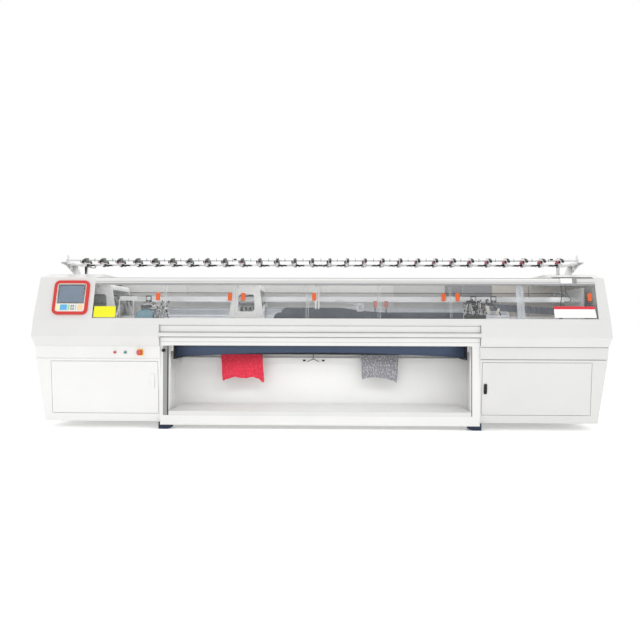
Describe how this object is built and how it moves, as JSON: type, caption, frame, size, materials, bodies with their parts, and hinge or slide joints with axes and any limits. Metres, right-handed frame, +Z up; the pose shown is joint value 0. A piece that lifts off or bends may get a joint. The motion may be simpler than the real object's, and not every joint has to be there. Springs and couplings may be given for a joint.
{
  "type": "flat knitting machine",
  "caption": "Long flat knitting machine with sliding window panes, twin carriages on needle beds, a fabric bay between end cabinets, a touch panel and a row of yarn tensioners on top.",
  "frame": {"origin": "on the floor, at the centre of the machine's footprint", "axes": "+X to the operator's right along the needle beds, -Y towards the operator, +Z up"},
  "size_m": [4.9, 0.9, 1.53],
  "materials": {
    "white_paint": "satin",
    "grey_paint": "satin",
    "foot_paint": "matt",
    "steel": "brushed",
    "rail_aluminium": "satin",
    "pane": "clear",
    "black_plastic": "matt",
    "slate_plastic": "matt",
    "maroon_plastic": "gloss",
    "red_plastic": "gloss",
    "green_plastic": "gloss",
    "yellow_plastic": "matt",
    "red_bezel": "satin",
    "cream_plastic": "matt",
    "screen_glass": "gloss",
    "black_rubber": "matt",
    "navy_cloth": "matt",
    "red_knit": "knitted",
    "grey_knit": "knitted"
  },
  "bodies": {
    "machine": {"back_panel": "white_paint", "cable_chain": "slate_plastic", "carriage_rails": "steel", "control_box": "grey_paint", "cross_rails": "white_paint", "drive_belt": "black_rubber", "drive_motor": "black_plastic", "fabric_sensor": "black_plastic", "fabric_tray": "grey_paint", "feeder_rails": "rail_aluminium", "front_cover": "white_paint", "front_needle_bed": "steel", "grey_sample": "grey_knit", "left_cabinet": "white_paint", "left_end_cover": "white_paint", "leg_frames": "white_paint", "levelling_feet": "foot_paint", "main_beam": "grey_paint", "panel_bezel": "red_bezel", "panel_face": "cream_plastic", "panel_screen": "screen_glass", "rail_supports": "white_paint", "rear_cover": "white_paint", "red_sample": "red_knit", "right_cabinet": "white_paint", "right_end_cover": "white_paint", "roller_brackets": "black_plastic", "stop_button_plate": "yellow_plastic", "takedown_apron": "navy_cloth", "takeup_arms": "black_plastic", "tension_blocks": "white_paint", "tension_domes": "steel", "tension_knobs": "maroon_plastic", "tension_rails": "rail_aluminium", "window_tracks": "rail_aluminium"},
    "window_pane_1": {"window_pane_1": "pane"},
    "window_pane_2": {"window_pane_2": "pane"},
    "window_pane_3": {"window_pane_3": "pane"},
    "window_pane_4": {"window_pane_4": "pane"},
    "window_pane_5": {"window_pane_5": "pane"},
    "window_pane_6": {"window_pane_6": "pane"},
    "window_pane_7": {"window_pane_7": "pane"},
    "carriages": {"carriage_heads": "steel", "carriage_bridges": "white_paint"},
    "left_feeders": {"left_feeders": "steel"},
    "right_feeders": {"right_feeders": "steel"},
    "rear_bed": {"rear_needle_bed": "steel"},
    "idler_pulley": {"idler_pulley": "steel"},
    "drive_pulley": {"drive_pulley": "steel"},
    "left_door": {"left_door": "white_paint"},
    "right_door": {"right_door": "white_paint"},
    "left_door_lock": {"left_door_lock": "cream_plastic"},
    "right_door_lock": {"right_door_lock": "black_plastic"},
    "red_button": {"red_button": "red_plastic"},
    "green_button": {"green_button": "green_plastic"},
    "stop_button": {"stop_button": "red_plastic"},
    "leg_knob": {"leg_knob": "black_plastic"},
    "operating_rod": {"operating_rod": "white_paint"},
    "takedown_roller": {"takedown_roller": "black_rubber"},
    "press_roller": {"press_roller": "steel"}
  },
  "joints": [
    {"name": "window_pane_1_slide", "type": "slide", "parent": "machine", "child": "window_pane_1", "axis": [1, 0, 0], "range_m": [0, 0.55]},
    {"name": "window_pane_2_slide", "type": "slide", "parent": "machine", "child": "window_pane_2", "axis": [1, 0, 0], "range_m": [-0.55, 0.55]},
    {"name": "window_pane_3_slide", "type": "slide", "parent": "machine", "child": "window_pane_3", "axis": [1, 0, 0], "range_m": [-0.55, 0.55]},
    {"name": "window_pane_4_slide", "type": "slide", "parent": "machine", "child": "window_pane_4", "axis": [1, 0, 0], "range_m": [-0.55, 0.55]},
    {"name": "window_pane_5_slide", "type": "slide", "parent": "machine", "child": "window_pane_5", "axis": [1, 0, 0], "range_m": [-0.55, 0.55]},
    {"name": "window_pane_6_slide", "type": "slide", "parent": "machine", "child": "window_pane_6", "axis": [1, 0, 0], "range_m": [-0.55, 0.55]},
    {"name": "window_pane_7_slide", "type": "slide", "parent": "machine", "child": "window_pane_7", "axis": [1, 0, 0], "range_m": [-0.55, 0]},
    {"name": "carriage_slide", "type": "slide", "parent": "machine", "child": "carriages", "axis": [1, 0, 0], "range_m": [-0.15, 2.5]},
    {"name": "left_feeder_slide", "type": "slide", "parent": "machine", "child": "left_feeders", "axis": [1, 0, 0], "range_m": [-0.35, 1.4]},
    {"name": "right_feeder_slide", "type": "slide", "parent": "machine", "child": "right_feeders", "axis": [1, 0, 0], "range_m": [-1.35, 0.45]},
    {"name": "rear_bed_rack", "type": "slide", "parent": "machine", "child": "rear_bed", "axis": [1, 0, 0], "range_m": [-0.025, 0.025]},
    {"name": "idler_pulley_turn", "type": "hinge", "parent": "machine", "child": "idler_pulley", "pos_m": [-2.272, 0.264, 1.156], "axis": [0, 1, 0], "continuous": true},
    {"name": "drive_pulley_turn", "type": "hinge", "parent": "machine", "child": "drive_pulley", "pos_m": [2.272, 0.264, 1.156], "axis": [0, 1, 0], "continuous": true},
    {"name": "left_door_swing", "type": "hinge", "parent": "machine", "child": "left_door", "pos_m": [-2.294, -0.35052, 0.13055], "axis": [0, -0.0924, 0.9957], "range_deg": [-105, 0]},
    {"name": "right_door_swing", "type": "hinge", "parent": "machine", "child": "right_door", "pos_m": [2.294, -0.35052, 0.13055], "axis": [0, -0.0924, 0.9957], "range_deg": [0, 105]},
    {"name": "left_door_lock_turn", "type": "hinge", "parent": "left_door", "child": "left_door_lock", "pos_m": [-1.43, -0.38217, 0.40681], "axis": [0, -0.9957, -0.0924], "range_deg": [0, 90]},
    {"name": "right_door_lock_turn", "type": "hinge", "parent": "right_door", "child": "right_door_lock", "pos_m": [1.41, -0.37718, 0.35304], "axis": [0, -0.9957, -0.0924], "range_deg": [-90, 0]},
    {"name": "red_button_press", "type": "slide", "parent": "machine", "child": "red_button", "axis": [0, 1, 0], "range_m": [0, 0.004], "stiffness_N_per_m": 400},
    {"name": "green_button_press", "type": "slide", "parent": "machine", "child": "green_button", "axis": [0, 1, 0], "range_m": [0, 0.004], "stiffness_N_per_m": 400},
    {"name": "stop_button_press", "type": "slide", "parent": "machine", "child": "stop_button", "axis": [0, 1, 0], "range_m": [0, 0.006]},
    {"name": "leg_knob_turn", "type": "hinge", "parent": "machine", "child": "leg_knob", "pos_m": [-1.331, -0.385, 0.672], "axis": [0, -1, 0], "range_deg": [-90, 90]},
    {"name": "operating_rod_turn", "type": "hinge", "parent": "machine", "child": "operating_rod", "pos_m": [0, -0.43, 0.808], "axis": [1, 0, 0], "range_deg": [-20, 20]},
    {"name": "takedown_roller_turn", "type": "hinge", "parent": "machine", "child": "takedown_roller", "pos_m": [0, -0.0616, 0.666], "axis": [1, 0, 0], "continuous": true},
    {"name": "press_roller_turn", "type": "hinge", "parent": "machine", "child": "press_roller", "pos_m": [0, 0.0136, 0.666], "axis": [1, 0, 0], "continuous": true}
  ],
  "couplings": [
    {"joint": "idler_pulley_turn", "follows": "carriage_slide", "rad_per_m": 25},
    {"joint": "drive_pulley_turn", "follows": "carriage_slide", "rad_per_m": 25},
    {"joint": "press_roller_turn", "follows": "takedown_roller_turn", "ratio": -1.4}
  ]
}
